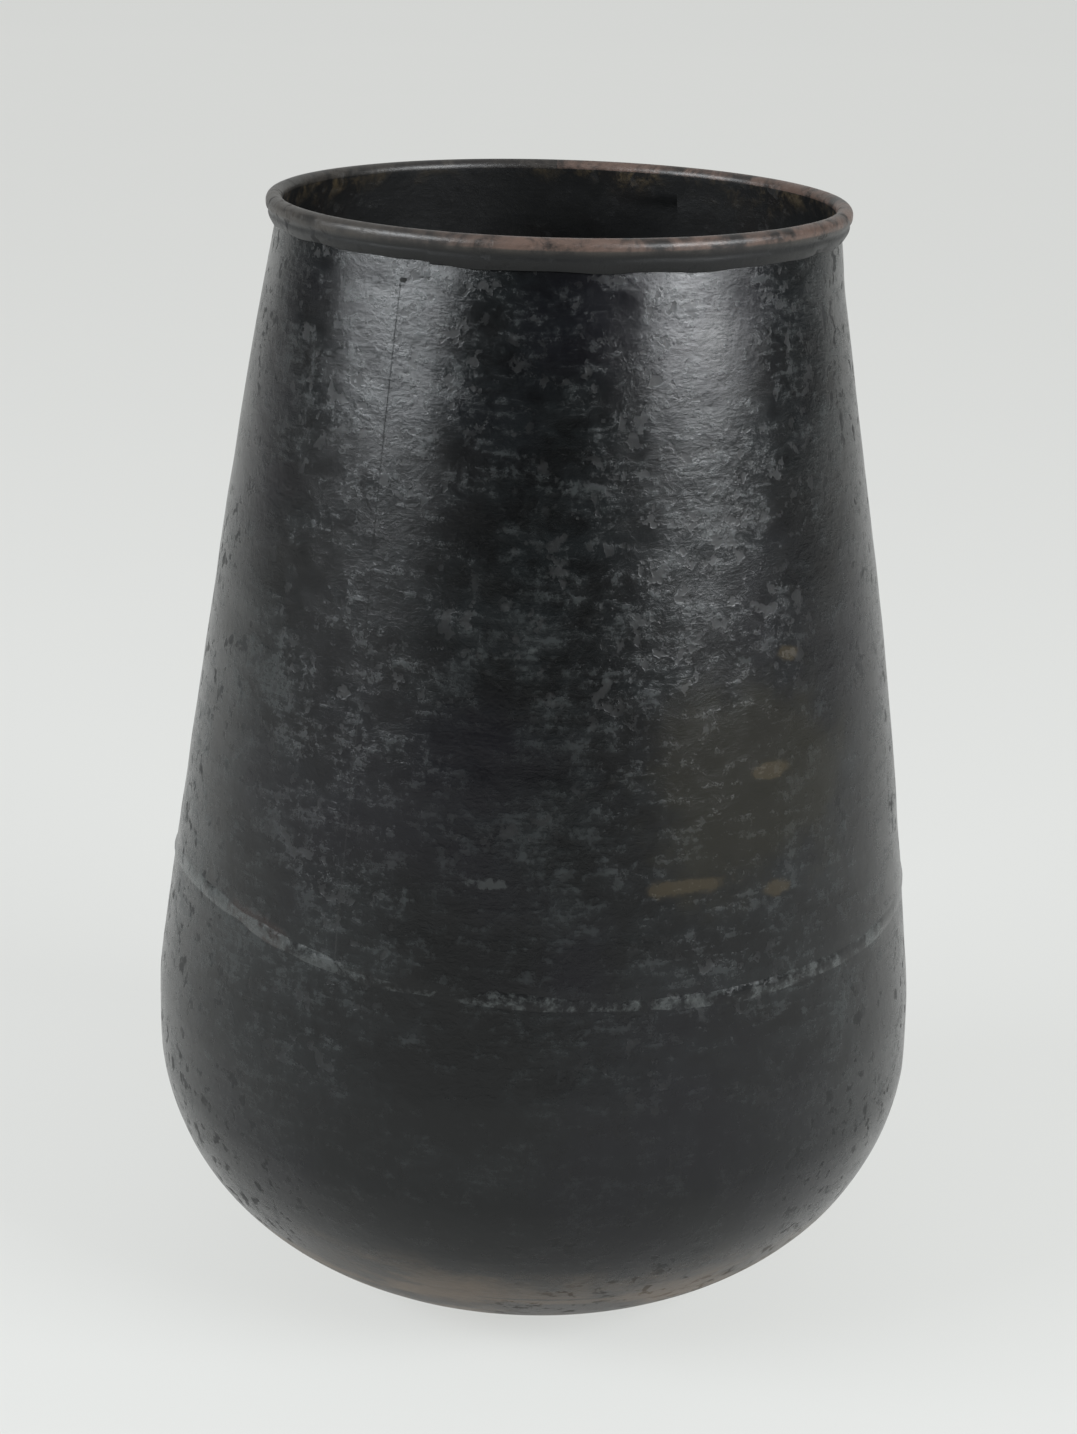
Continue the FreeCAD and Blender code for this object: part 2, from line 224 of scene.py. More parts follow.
# %% [markdown]
# ## One deformation for every piece
#
# If each piece were dented by itself, the seams would open and the wire would cut through its
# roll. Instead one function says where a point of the round vessel ends up, and every piece
# goes through it. The seam wanders, the body leans a little to each side in turn, and the mouth
# was pulled out of round. The widest place may only move inwards, to stay inside the model.


# %% The belly seam's wander and the lean
def swell(value, middle, width):
    """1 at the middle, falling smoothly to nothing about two widths away."""
    return np.exp(-(((value - middle) / width) ** 2))


def seam_rise(azimuth):
    """How far the belly seam is above its even height: it climbs on the left and sags on the right.

    The two bumps are in millimetres, each at a turn and with a width in degrees."""
    around = (azimuth + 180) % 360 - 180
    ripple = hammered(around, np.zeros_like(around), 14 * MM, 50 * MM, 3) * 0.5 * MM
    return (8 * swell(around, -62, 24) - 5 * swell(around, 35, 50)) * MM + ripple


def lean(height):
    """How far the body is to the right: the belly leans left and the middle leans right."""
    return (0.75 * swell(height, 240 * MM, 50 * MM) - 0.5 * swell(height, 115 * MM, 40 * MM)) * MM


def dents(azimuth, height):
    """How far the hammer moved the sheet outwards, in metres."""
    middle = ease(height, 120 * MM, 170 * MM) * (1 - ease(height, 280 * MM, 330 * MM))
    bowl_part = 1 - ease(height, 140 * MM, 165 * MM)
    total = hammered(azimuth, height, 48 * MM, 44 * MM, 11) * 0.42 * MM
    total += hammered(azimuth, height, 20 * MM, 17 * MM, 12) * (0.2 - 0.08 * bowl_part) * MM
    total += hammered(azimuth, height, 9 * MM, 8 * MM, 13) * 0.06 * MM
    total += hammered(azimuth, height, 60 * MM, 5.5 * MM, 14) * 0.06 * middle * MM
    return total * ease(height, 2 * MM, 24 * MM) * (1 - 0.6 * ease(height, 380 * MM, 390 * MM))


def beaten(azimuth, radius, height):
    """Where a point of the round vessel is on the beaten one: azimuth in degrees, then metres."""
    lifted = height + seam_rise(azimuth) * swell(height, SEAM_Z, 26 * MM)
    radius = radius + outer_radius(lifted) - outer_radius(height) + dents(azimuth, lifted)
    room = BELLY_R - BELLY_ROOM
    squeezed = room + np.tanh((radius - room) / (0.8 * MM)) * 0.35 * MM
    radius = np.where(radius > room, squeezed, radius)
    turn = np.radians(azimuth)
    right = np.sin(turn)
    pull = MOUTH_PULL * np.clip(right, 0, 1) ** 2 * ease(height, 366 * MM, 396 * MM)
    x = (radius + pull) * right + lean(lifted)
    return np.stack([x, -radius * np.cos(turn), np.minimum(lifted, HEIGHT)], -1)


print("seam height at the front, right and left, mm:",
      [round((SEAM_Z + float(seam_rise(np.array([a]))[0])) / MM, 1) for a in (0, 45, -55)])

# %% [markdown]
# ## From an outline to a closed sheet
#
# A sheet has an outer face, an inner face, and a narrow edge all the way round. The two faces
# are the same net of points a sheet apart. An edge of the net that only one face uses is a cut
# edge, and gets a narrow face that joins outside to inside. So a lap tongue or a notch is just
# net cells left out, and the mesh is always closed.


# %% Make a piece from points and faces
def new_piece(name, points, faces, sharp=True):
    """A smooth-shaded mesh object; sharp keeps its edges of over 50 degrees crisp."""
    mesh = bpy.data.meshes.new(name)
    mesh.from_pydata(points, [], faces)
    mesh.polygons.foreach_set("use_smooth", [True] * len(mesh.polygons))
    if sharp:
        mesh.set_sharp_from_angle(angle=math.radians(50))
    mesh.validate()
    piece = bpy.data.objects.new(name, mesh)
    bpy.context.scene.collection.objects.link(piece)
    print(f"{name}: {len(mesh.vertices)} points, {len(mesh.polygons)} faces")
    return piece


# %% Build a closed sheet from two nets of points
def closed_sheet(name, outer, inner, kept, marks, wraps=False, centre=False):
    """A mesh from nets of shape (rows, columns, 3); kept says which cells of the net are metal."""
    rows, columns = outer.shape[:2]
    number = np.arange(rows * columns).reshape(rows, columns)
    ahead = np.roll(number, -1, 1) if wraps else number[:, 1:]
    here = number if wraps else number[:, :-1]
    quads = np.stack([here[:-1], ahead[:-1], ahead[1:], here[1:]], -1)[kept]
    edges = np.concatenate([quads[:, [k, (k + 1) % 4]] for k in range(4)])
    used = {(a, b) for a, b in edges.tolist()}
    rim = [(a, b) for a, b in used if (b, a) not in used]
    if centre:
        rim = [(a, b) for a, b in rim if a >= columns or b >= columns]
    shift = rows * columns
    faces = [tuple(q) for q in quads.tolist()]
    faces += [tuple(q + shift for q in reversed(quad)) for quad in quads.tolist()]
    faces += [(b, a, a + shift, b + shift) for a, b in sorted(rim)]
    points = np.concatenate([outer.reshape(-1, 3), inner.reshape(-1, 3)])
    if centre:
        middles = [outer[0].mean(0), inner[0].mean(0)]
        points = np.concatenate([points, middles])
        for i in range(columns):
            j = (i + 1) % columns
            faces.append((2 * shift, j, i))
            faces.append((2 * shift + 1, i + shift, j + shift))
    wanted = np.zeros(len(points), bool)
    wanted[[p for face in faces for p in face]] = True
    renumber = np.cumsum(wanted) - 1
    piece = new_piece(name, points[wanted].tolist(), [[int(renumber[p]) for p in f] for f in faces])
    for mark, (outside, inside) in marks.items():
        values = np.concatenate([np.broadcast_to(outside, (rows, columns)).ravel(),
                                 np.broadcast_to(inside, (rows, columns)).ravel(),
                                 [0.0, 1.0] if centre else []])
        piece.data.attributes.new(mark, "FLOAT", "POINT").data.foreach_set("value", values[wanted])
    return piece


# %% [markdown]
# ## The raised bowl
#
# The bowl starts as a flat disc and is hammered up, a ring at a time. At its top the outer face
# steps in by a sheet, and a collar carries on upwards inside the wall. The two faces are given
# as two outlines with the same number of points.

# %% Build the bowl
collar_slope = math.tan(shoulder_turn)
collar_out = WALL_R - SHEET - LAP_CLEARANCE
collar_end = collar_out - collar_slope * (COLLAR_Z - SEAM_Z)
root_z = SEAM_Z - 4 * MM
bowl_out = np.concatenate([bowl_arcs(0), straight((collar_out, SEAM_Z), (collar_end, COLLAR_Z), 7)])
inner_arcs = bowl_arcs(SHEET)
inner_arcs[-3:] = straight(inner_arcs[-4], (inner_arcs[-1][0] + collar_slope * 4 * MM, root_z), 4)[1:]
bowl_in = np.concatenate([
    inner_arcs, straight((collar_out - SHEET, SEAM_Z), (collar_end - SHEET, COLLAR_Z), 7)])

bowl_turns = np.arange(0, 360, 0.9)[None, :]
bowl = closed_sheet(
    "bowl_beaten",
    beaten(bowl_turns, bowl_out[:, :1], bowl_out[:, 1:]),
    beaten(bowl_turns, bowl_in[:, :1], bowl_in[:, 1:]),
    np.ones((len(bowl_out) - 1, bowl_turns.size), bool),
    {"inside": (0.0, 1.0)}, wraps=True, centre=True)

# %% [markdown]
# ## The two wall sheets
#
# Each sheet is bent from flat and its top is rolled outwards over the wire, then its flap is
# dressed down on the wall. A tongue at the sheet's first edge steps out by one sheet and laps
# over the neighbour. From the start of that step to the tongue's edge the sheet is hammered thin,
# so that the lap hardly shows. The tongue stops below the rim, so the roll is one sheet thick.


# %% The wall's section, at the middle of the sheet
def wall_section():
    """Points (radius, height) and outward directions up the wall, over the wire, down the flap."""
    wall = arc(wall_centre, WALL_ARC - SHEET / 2, wall_start, wall_end, WALL_ROWS)
    roll = arc(wire_centre, WIRE + SHEET / 2, math.pi + wall_end, 0, ROLL_ROWS + 1)[1:]
    drop = np.linspace(0, 1, FLAP_ROWS + 1)[1:]
    pinch = 0.45 * MM * np.sin(np.clip((drop - 0.2) / 0.4, 0, 1) * math.pi)
    flap_r = HOOP + WIRE + SHEET / 2 - 2.3 * MM * drop**2.1 - pinch
    flap_z = WIRE_Z + (FLAP_Z - WIRE_Z) * drop
    section = np.concatenate([wall, roll, np.stack([flap_r, flap_z], 1)])
    step = np.gradient(section, axis=0)
    step /= np.linalg.norm(step, axis=1, keepdims=True)
    return section, np.stack([step[:, 1], -step[:, 0]], 1)


plain_section, plain_facing = wall_section()
section_rows = len(plain_section)
print("wall section points:", section_rows, "flap ends at mm:", plain_section[-1] / MM)


# %% Build a wall sheet
def wall_sheet(name, first_edge, spread, flap_extra, seed):
    """One wall sheet, from its lap tongue round to its far edge."""
    turns = np.concatenate([np.linspace(-LAP_TURN, 0, 9)[:-1], np.linspace(0, spread, 249)])
    azimuth = (first_edge + turns)[None, :]
    section, facing = plain_section[:, None, :], plain_facing[:, None, :]
    row = np.arange(section_rows)[:, None]
    low = row < WALL_ROWS
    flap_part = np.clip((row - WALL_ROWS - ROLL_ROWS) / (FLAP_ROWS - 1), 0, 1)
    ragged = hammered(azimuth, np.full_like(azimuth, 0.1), 11 * MM, 50 * MM, seed) * 0.75 * MM
    below_rim = (1 - ease(section[..., 1], JOGGLE_LOW, JOGGLE_TOP)) * low * SHEET
    out = (1 - ease(turns, 0, JOGGLE_TURN))[None, :] * below_rim
    thin = (1 - ease(turns, -LAP_TURN, JOGGLE_TURN))[None, :] * LAP_THINNING * below_rim
    drop = flap_part * (ragged + flap_extra)
    middle_r, middle_z = section[..., 0] + out, section[..., 1] - drop
    half = SHEET / 2
    outer = beaten(azimuth, middle_r + facing[..., 0] * (half - thin), middle_z + facing[..., 1] * half)
    inner = beaten(azimuth, middle_r - facing[..., 0] * half, middle_z - facing[..., 1] * half)
    tongue = turns[:-1][None, :] < -1e-6
    high_cell = plain_section[1:, 1][:, None] > TONGUE_Z
    past_wall = ~low[1:]
    kept = ~(tongue & (high_cell | past_wall))
    crown = np.where(low, 0.0, 1 - flap_part)
    return closed_sheet(name, outer, inner, kept, {
        "inside": (np.where(low, 0.0, 0.3), np.where(low, 1.0, 0.0)),
        "crown": (crown, crown), "flap": (flap_part, flap_part)})


wall_right = wall_sheet("wall_right_beaten", FRONT_SEAM, RIGHT_TURN, 0.9 * MM, 21)
wall_left = wall_sheet("wall_left_beaten", FRONT_SEAM + RIGHT_TURN, 360 - RIGHT_TURN, 0.0, 22)

# %% [markdown]
# ## The wire and the brass
#
# The wire is a round bar bent to a hoop. The brass was run into the seams while hot: it stands
# a little proud and smears over both edges, more in some places than in others. The wire and the
# belly ridge are a small section carried round the vessel, and the side runs go up it.


# %% Carry a closed section round the vessel
def carried(name, section, turns):
    """A closed ring; the section may change from turn to turn."""
    ring = beaten(turns[None, :], section[..., 0], section[..., 1])
    rows, columns = ring.shape[:2]
    number = np.arange(rows * columns).reshape(rows, columns)
    below = np.roll(number, -1, 0)
    faces = np.stack([number, np.roll(number, -1, 1), np.roll(below, -1, 1), below], -1)
    faces = faces.reshape(-1, 4).tolist()
    return new_piece(name, ring.reshape(-1, 3).tolist(), faces)


# %% Build the wire, the belly ridge and the two side runs
round_turns = np.arange(0, 360, 0.75)
wire_ring = arc(wire_centre, WIRE - 0.05 * MM, 0, -2 * math.pi, 17)[:-1][:, None, :]
wire = carried("rim_hoop_wire", wire_ring, round_turns)

proud = (0.34 + 0.4 * hammered(round_turns, np.zeros_like(round_turns), 9 * MM, 50 * MM, 31)) * MM
from_front = np.abs((round_turns + 180) % 360 - 180)
proud = np.clip(proud, 0.02 * MM, None) * (0.35 + 0.65 * ease(from_front, 8, 24))
gap_middle = (SEAM_Z + WALL_Z) / 2

# the ridge's section: outwards and upwards in mm, then how much of the ridge's height it takes
ridge_shape = [(-1.25, 0.36, 0), (-1.25, -0.36, 0), (-0.05, -0.36, 0), (-0.05, -3.0, 0.0), (0.0, -1.5, 0.7),
               (0, 0, 1.0), (0.0, 1.5, 0.7), (-0.05, 3.0, 0.0), (-0.05, 0.36, 0)]
ridge = np.array([[(float(outer_radius(gap_middle + z * MM)) + r * MM + p * rise, gap_middle + z * MM)
                   for p in proud] for r, z, rise in ridge_shape])
belly_ridge = carried("belly_seam_ridge", ridge, round_turns)


def side_run(name, first_edge, seed):
    """The brass along a lap's edge, from the belly seam up to the notch."""
    heights = np.linspace(WALL_Z, TONGUE_Z, RUN_STEPS)
    edge = np.full(RUN_STEPS, first_edge - LAP_TURN)
    fullness = 0.5 + 0.3 * hammered(edge, heights, 40 * MM, 9 * MM, seed)
    shape = [(-1.8, -0.03), (-0.9, 0.02), (0.0, 0.06), (0.24, -0.03)]
    ring = np.stack([beaten(edge + turn, outer_radius(heights) + lift * fullness * MM, heights)
                     for turn, lift in shape])
    number = np.arange(len(shape) * RUN_STEPS).reshape(len(shape), RUN_STEPS)
    below = np.roll(number, -1, 0)
    faces = np.stack([number[:, :-1], below[:, :-1], below[:, 1:], number[:, 1:]], -1)
    faces = faces.reshape(-1, 4).tolist() + [number[:, 0].tolist(), number[::-1, -1].tolist()]
    return new_piece(name, ring.reshape(-1, 3).tolist(), faces, sharp=False)


front_run = side_run("front_seam_run", FRONT_SEAM, 41)
back_run = side_run("back_seam_run", FRONT_SEAM + RIGHT_TURN, 42)

# %% [markdown]
# ## Mixing materials in plain arithmetic
#
# A material is a chain of small nodes. Written as arithmetic they are easier to read, so one
# class stands for a node's output and turns + - * / ** into Math nodes. Every other node comes
# from one method, which takes its type, its settings and what goes into it.


# %% The value class and the recipe class
class Value:
    """One output of a node, with arithmetic."""

    def __init__(self, recipe, socket):
        self.recipe, self.socket = recipe, socket

    def maths(self, operation, *parts):
        return self.recipe.node("ShaderNodeMath", {"operation": operation}, dict(enumerate(parts)))

    def __add__(self, other):
        return self.maths("ADD", self, other)

    def __sub__(self, other):
        return self.maths("SUBTRACT", self, other)

    def __rsub__(self, other):
        return self.maths("SUBTRACT", other, self)

    def __mul__(self, other):
        return self.maths("MULTIPLY", self, other)

    def __truediv__(self, other):
        return self.maths("DIVIDE", self, other)

    def __pow__(self, other):
        return self.maths("POWER", self, other)

    def step(self, low, high):
        """0 at low, 1 at high, smooth between; low may be above high."""
        return self.recipe.node("ShaderNodeMapRange", {"interpolation_type": "SMOOTHSTEP"},
                                {"Value": self, "From Min": low, "From Max": high})

    __radd__ = __add__
    __rmul__ = __mul__


SPOT_RADIUS = 118 * MM


class Recipe:
    """A material under construction."""

    def __init__(self, name):
        self.material = bpy.data.materials.new(name)
        self.material.use_nodes = True
        self.tree = self.material.node_tree
        self.tree.nodes.clear()
        place = self.node("ShaderNodeTexCoord", out="Object")
        self.place = place
        split = self.node("ShaderNodeSeparateXYZ", inputs={0: place})
        x, y, self.height = (Value(self, split.socket.node.outputs[k]) for k in range(3))
        self.angle = x.maths("ARCTAN2", x, y * -1.0) * (180 / math.pi)

    def node(self, kind, settings=None, inputs=None, out=0):
        made = self.tree.nodes.new(kind)
        for key, value in (settings or {}).items():
            if key == "stops":
                ramp = made.color_ramp
                while len(ramp.elements) < len(value):
                    ramp.elements.new(0.5)
                for element, (position, colour) in zip(ramp.elements, value):
                    element.position, element.color = position, (*colour, 1)
            else:
                setattr(made, key, value)
        for key, value in (inputs or {}).items():
            if isinstance(value, Value):
                self.tree.links.new(value.socket, made.inputs[key])
            else:
                made.inputs[key].default_value = value
        return Value(self, made.outputs[out]) if made.outputs else None

    def noise(self, scale, detail=4.0, rough=0.55, stretch=(1, 1, 1), twist=0.0):
        """A cloud pattern of 0 to 1; stretch squeezes it along an axis."""
        where = self.node("ShaderNodeVectorMath", {"operation": "MULTIPLY"}, {0: self.place, 1: stretch})
        return self.node("ShaderNodeTexNoise", {"noise_dimensions": "3D"}, {
            "Vector": where, "Scale": scale, "Detail": detail, "Roughness": rough, "Distortion": twist})

    def blend(self, mask, first, second):
        """A colour between two colours."""
        ends = [c if isinstance(c, Value) else (*c, 1) for c in (first, second)]
        return self.node("ShaderNodeMix", {"data_type": "RGBA"}, {0: mask, 6: ends[0], 7: ends[1]}, 2)

    def mark(self, name):
        return self.node("ShaderNodeAttribute", {"attribute_name": name}, out="Fac")

    def spot(self, turn, height, wide, tall, ragged=0.5, grain=160.0):
        """A ragged patch: its azimuth in degrees, then its height and half sizes in millimetres."""
        across = (self.angle - turn) * (math.radians(1) * SPOT_RADIUS / (wide * MM))
        up = (self.height - height * MM) / (tall * MM)
        away = (across * across + up * up) ** 0.5
        return (away + (self.noise(grain, 5.0, 0.65) - 0.5) * (2 * ragged)).step(1.0, 0.55)

    def finish(self, colour, roughness, metal, bump, depth, specular=0.5):
        """Joins everything to the shader; bump is a height and depth is its size in metres."""
        normal = self.node("ShaderNodeBump", None, {"Strength": 1.0, "Distance": depth, "Height": bump})
        shader = self.node("ShaderNodeBsdfPrincipled", None, {
            "Base Color": colour, "Roughness": roughness, "Metallic": metal, "Normal": normal,
            "Specular IOR Level": specular})
        self.node("ShaderNodeOutputMaterial", None, {"Surface": shader})
        print(f"{self.material.name}: {len(self.tree.nodes)} nodes")
        return self.material


# %% [markdown]
# ## Blackened copper
#
# Smoke, oil and handling give old copper a black skin that is never even: blue-grey clouds
# where it is thin, almost black where it is thick, fine level lines from the hammer, and pale
# chips where it has flaked. The same recipe serves the wall and the bowl; the bowl is smoother
# and its foot is worn brown by standing. The brass in the seams has gone as black as the wall.

# %% Colours of the skin, as linear red, green, blue
SOOT = (0.0012, 0.0014, 0.0015)
SLATE = (0.0052, 0.0062, 0.0066)
BLOOM = (0.026, 0.03, 0.03)
VIOLET = (0.0032, 0.0028, 0.005)
OLIVE = (0.013, 0.0115, 0.005)
BRASS = (0.04, 0.03, 0.015)
COPPER = (0.095, 0.06, 0.047)
HEM = (0.028, 0.024, 0.02)
BROWN = (0.1, 0.072, 0.047)
CHIP = (0.045, 0.049, 0.048)
RUST = (0.022, 0.01, 0.007)
TAN = (0.07, 0.05, 0.024)
INSIDE = (0.004, 0.0028, 0.0022)

# %% Patches on the wall: azimuth, height, half width and half height in mm
BRASS_PATCHES = [(22, 190, 16, 4), (38, 184, 8, 4), (43, 262, 5, 3), (38, 224, 8, 3)]
CHIPS = [(-2, 269, 1.6, 1.3), (34, 262, 4, 1.4), (28, 305, 4, 1.2), (-7, 192, 6, 2)]


# %% The skin's noises, coat and lining
def add_noises(r):
    """The noises that every part of the skin shares."""
    r.clouds = r.noise(16.0, 8.0, 0.62, twist=0.6)
    r.flakes = r.noise(95.0, 9.0, 0.74, twist=0.4)
    r.fine = r.noise(420.0, 6.0, 0.7)
    r.level = r.noise(16.0, 8.0, 0.68, stretch=(1, 1, 4))
    r.streaks = r.noise(70.0, 7.0, 0.66, stretch=(0.8, 0.8, 5))
    r.pits = r.noise(170.0, 4.0, 0.6).step(0.56, 0.64) * r.clouds.step(0.42, 0.58)


def coat(r):
    """The black coat that covers everything: its colour, roughness and bump."""
    low = r.height.step(150 * MM, 70 * MM)
    thin = (r.clouds * 0.36 + r.flakes * 0.34 + r.level * 0.3).step(0.44, 0.57)
    thin = thin + (0.55 - thin) * (low * 0.65)
    colour = r.blend(thin, SOOT, SLATE)
    crusted = r.height.step(120 * MM, 150 * MM) * r.height.step(300 * MM, 190 * MM)
    bloom = r.flakes * 0.3 + r.clouds * 0.2 + r.fine * 0.25 + r.streaks * 0.25 + crusted * 0.02
    bloom = bloom.step(0.51, 0.61)
    colour = r.blend(bloom * (0.52 - low * 0.24), colour, BLOOM)
    colour = r.blend(r.noise(9.0, 3.0).step(0.5, 0.68) * 0.5, colour, VIOLET)
    colour = r.blend(r.pits * 0.7, colour, SOOT)
    roughness = 0.2 + (1 - thin) * 0.05 + bloom * 0.12 + r.pits * 0.3 + (r.flakes - 0.5) * 0.24
    bump = r.clouds * 0.4 + r.flakes * 0.42 + r.fine * 0.16 + r.streaks * 0.12
    return colour, roughness, bump + bloom * 0.05 - r.pits * 0.12


def lining(r, colour, roughness):
    """Dull brown-black inside, with tan tarnish just under the rim."""
    inside = r.mark("inside")
    tarnish = (r.height + (r.clouds - 0.5) * (60 * MM)).step(384 * MM, 400 * MM)
    tarnish = tarnish * r.flakes.step(0.46, 0.62)
    dull = r.blend(r.clouds.step(0.4, 0.7), SOOT, INSIDE)
    colour = r.blend(inside * 0.96, colour, r.blend(tarnish * 0.5, dull, TAN))
    return colour, roughness + inside * 0.25


# %% Wear on the foot, the wall and the rim, painted shade on the rim's flap, and a painted highlight on the seam
def foot_wear(r, colour, roughness):
    """Brown round the foot, with a dark crease and a bare line below it at the front."""
    edge = r.height + (r.clouds - 0.5) * (34 * MM) + (r.flakes - 0.5) * (22 * MM)
    worn = edge.step(54 * MM, 22 * MM)
    colour = r.blend(worn, colour, r.blend(r.level.step(0.42, 0.58), BROWN, HEM))
    colour = r.blend(r.spot(3, 33, 30, 0.7, 0.3) * 0.7, colour, SOOT)
    colour = r.blend(r.spot(3, 31.6, 26, 0.6, 0.4) * 0.5, colour, BROWN)
    return colour, roughness + worn * 0.22


def wall_wear(r, colour):
    """An olive cloud, a rusty patch, bare brass and pale chips."""
    colour = r.blend(r.spot(34, 222, 44, 52, 0.9, 26.0) * 0.4, colour, OLIVE)
    colour = r.blend(r.spot(-46, 158, 20, 9, 0.8, 60.0) * 0.4, colour, RUST)
    for turn, height, wide, tall in BRASS_PATCHES:
        colour = r.blend(r.spot(turn, height, wide, tall, 1.3, 45.0) * 0.5, colour, BRASS)
    for turn, height, wide, tall in CHIPS:
        colour = r.blend(r.spot(turn, height, wide, tall, 1.9, 300.0) * 0.4, colour, CHIP)
    return colour


def rim_wear_and_flap_shade(r, colour, roughness):
    """The rim is rubbed brown, with bare copper on the right of its crown; the flap is painted near-black
    as painted shade under the roll.
    """
    crown, flap = r.mark("crown"), r.mark("flap")
    dark = (r.flakes * 0.6 + r.clouds * 0.4).step(0.44, 0.56)
    colour = r.blend(crown.step(0.55, 0.95) * (0.3 + dark * 0.6), colour, HEM)
    right = (r.angle + (r.clouds - 0.5) * 60.0).step(-40.0, 0.0)
    rubbed = crown.step(0.9, 1.0) * (r.flakes * 0.5 + r.clouds * 0.5).step(0.42, 0.56) * right
    colour = r.blend(rubbed * 0.75, colour, COPPER)
    # painted shade: soot colour on the flap stands in for the shadow under the rolled rim
    colour = r.blend(flap.step(0.05, 0.4) * (0.75 + dark * 0.2), colour, SOOT)
    return colour, roughness + crown * 0.16 + flap * 0.2


def seam_painted_highlight(r, colour):
    """A ragged pale band along the belly seam's ridge: a painted highlight where the ridge catches light.
    """
    # painted highlight: pale colour on the raised seam in place of the light it catches
    ridge_highlight = (r.flakes * 0.5 + r.clouds * 0.3 + r.fine * 0.2).step(0.46, 0.56)
    return r.blend(ridge_highlight * 0.8, colour, CHIP)


# %% The skin
def skin(name, is_bowl=False, is_seam=False):
    """The blackened skin: the bowl is worn at its foot, the wall on its face and its rim, with painted
    shade on the flap; the seam has a painted highlight.
    """
    r = Recipe(name)
    add_noises(r)
    colour, roughness, bump = coat(r)
    if is_bowl:
        colour, roughness = foot_wear(r, colour, roughness)
    else:
        colour, roughness = rim_wear_and_flap_shade(r, wall_wear(r, colour), roughness)
    # the seam ridge gets a painted highlight
    if is_seam:
        colour = seam_painted_highlight(r, colour)
    colour, roughness = lining(r, colour, roughness)
    return r.finish(colour, roughness, 0.1, bump, 0.5 * MM, 0.4)


wall_skin = skin("blackened_wall")
bowl_skin = skin("blackened_bowl", is_bowl=True)
ridge_skin = skin("blackened_seam", is_seam=True)


# %% The iron wire
def iron(name):
    """Dark scaly iron, for the wire that the rim hides."""
    r = Recipe(name)
    scale, fine = r.noise(90.0, 6.0, 0.6), r.noise(500.0, 4.0)
    colour = r.blend(scale.step(0.4, 0.65), (0.05, 0.045, 0.04), (0.2, 0.18, 0.16))
    return r.finish(colour, 0.4 + fine * 0.2, 0.8, scale * 0.5 + fine * 0.5, 0.08 * MM)


wire_skin = iron("rim_wire_iron")

# %% Give each piece its finish and its body, and hide the model piece that it stands for
for piece, node, slot, finish in (
        (bowl, "raised_bowl", "blackened_bowl", bowl_skin),
        (wall_right, "wall_sheet_right", "blackened_wall", wall_skin),
        (wall_left, "wall_sheet_left", "blackened_wall", wall_skin),
        (wire, "rim_wire", "rim_wire", wire_skin),
        (belly_ridge, "belly_seam_filler", "seam_brass", ridge_skin),
        (front_run, "front_seam_filler", "seam_brass", wall_skin),
        (back_run, "back_seam_filler", "seam_brass", wall_skin)):
    piece.data.materials.append(finish)
    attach(piece, "root")
    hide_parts(node)

# %% [markdown]
# ## Floor and light
#
# A pale floor runs back and curves up into a wall, so there is no line behind the vessel. It
# glows a little, which keeps it even. Two broad soft boxes stand to the left and the right of the
# camera and give the two soft patches of light on the upper wall. The light overhead is dim.


# %% The floor
FLOOR_GAP = 0.2 * MM
FLOOR_GLOW = 0.6


def sweep_floor():
    """A matt floor that curves up into a wall, a hair below the foot so that the two don't fight."""
    line = np.concatenate([
        straight((-5.0, 0.0), (5.0, 0.0), 6), arc((5.0, 2.0), 2.0, -math.pi / 2, 0, 14)[1:],
        straight((7.0, 2.2), (7.0, 4.5), 4)])
    points = [(x, y, z - FLOOR_GAP) for x in (-6.0, 6.0) for y, z in line]
    count = len(line)
    faces = [(k, k + count, k + count + 1, k + 1) for k in range(count - 1)]
    floor = new_piece("pale_floor", points, faces, sharp=False)
    r = Recipe("pale_paper")
    grain = r.noise(3.0, 3.0)
    colour = r.blend(grain, (0.12, 0.121, 0.119), (0.13, 0.13, 0.128))
    paper = r.finish(colour, 0.9 + grain * 0.02, 0.0, grain, 0.1 * MM, 0.1)
    shader = next(n for n in paper.node_tree.nodes if n.type == "BSDF_PRINCIPLED")
    shader.inputs["Emission Color"].default_value = (0.97, 0.985, 0.96, 1)
    shader.inputs["Emission Strength"].default_value = FLOOR_GLOW
    floor.data.materials.append(paper)


sweep_floor()


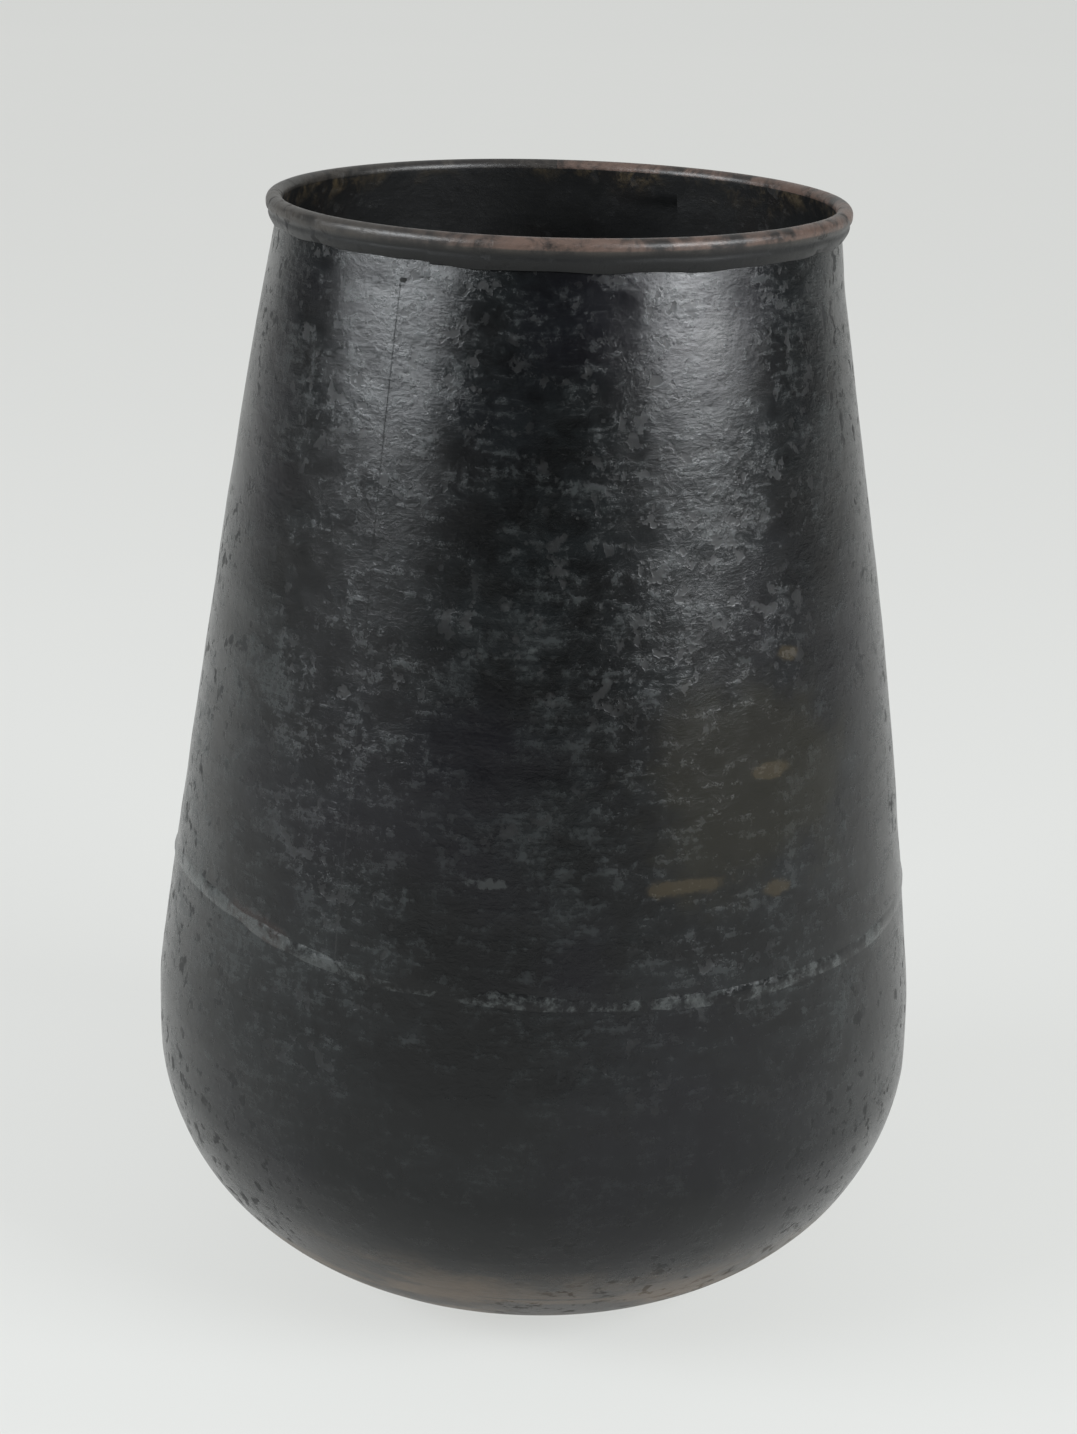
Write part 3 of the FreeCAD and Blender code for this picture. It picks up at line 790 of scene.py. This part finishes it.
# %% The lights
def soft_box(name, place, target, wide, tall, power, tint=(1, 1, 1)):
    """A rectangular light that faces its target: sizes in metres, power in watts."""
    data = bpy.data.lights.new(name, "AREA")
    data.shape, data.size, data.size_y, data.energy, data.color = "RECTANGLE", wide, tall, power, tint
    light = bpy.data.objects.new(name, data)
    light.location = place
    light.rotation_euler = (Vector(target) - Vector(place)).to_track_quat("-Z", "Y").to_euler()
    bpy.context.scene.collection.objects.link(light)
    print(f"{name}: {power} W over {wide} by {tall} m")


soft_box("left_window", (-1.74, -0.8, 1.1), (0, 0, 0.55), 1.3, 0.75, 64, (0.93, 0.97, 1.0))
soft_box("right_window", (1.58, -1.02, 1.08), (0, 0, 0.55), 1.1, 0.8, 68, (0.95, 0.98, 1.0))
soft_box("overhead", (0, 1.0, 4.2), (0, 1.0, 0), 10.0, 11.0, 210)

world = bpy.data.worlds.new("room")
bpy.context.scene.world = world
world.use_nodes = True
world.node_tree.nodes["Background"].inputs[0].default_value = (0.16, 0.165, 0.17, 1)
world.node_tree.nodes["Background"].inputs[1].default_value = 0.25

# %% [markdown]
# ## Camera
#
# A long lens about a metre away, a little above the rim and tilted down, so the mouth shows as
# a narrow oval and the foot is just in view.

# %% The camera
CAMERA_PLACE = (-1.4 * MM, -1.0197, 0.5393)
FILM_WIDTH, FOCAL_LENGTH = 36.0, 72.8
TILT, ROLL = math.radians(17.99), math.radians(1.56)
ahead = Vector((0, math.cos(TILT), -math.sin(TILT)))
above = Vector((0, math.sin(TILT), math.cos(TILT)))
across = Vector((1, 0, 0))
side = across * math.cos(ROLL) + above * math.sin(ROLL)
up = above * math.cos(ROLL) - across * math.sin(ROLL)
lens = bpy.data.cameras.new("camera")
lens.sensor_width, lens.lens = FILM_WIDTH, FOCAL_LENGTH
lens.clip_start, lens.clip_end = 0.05, 50
camera = bpy.data.objects.new("camera", lens)
turned = Matrix((side, up, -ahead)).transposed().to_4x4()
camera.matrix_world = Matrix.Translation(CAMERA_PLACE) @ turned
bpy.context.scene.collection.objects.link(camera)
bpy.context.scene.camera = camera
bpy.context.scene.view_settings.view_transform = "Standard"
print("camera at", CAMERA_PLACE, "with a lens of", FOCAL_LENGTH, "mm")
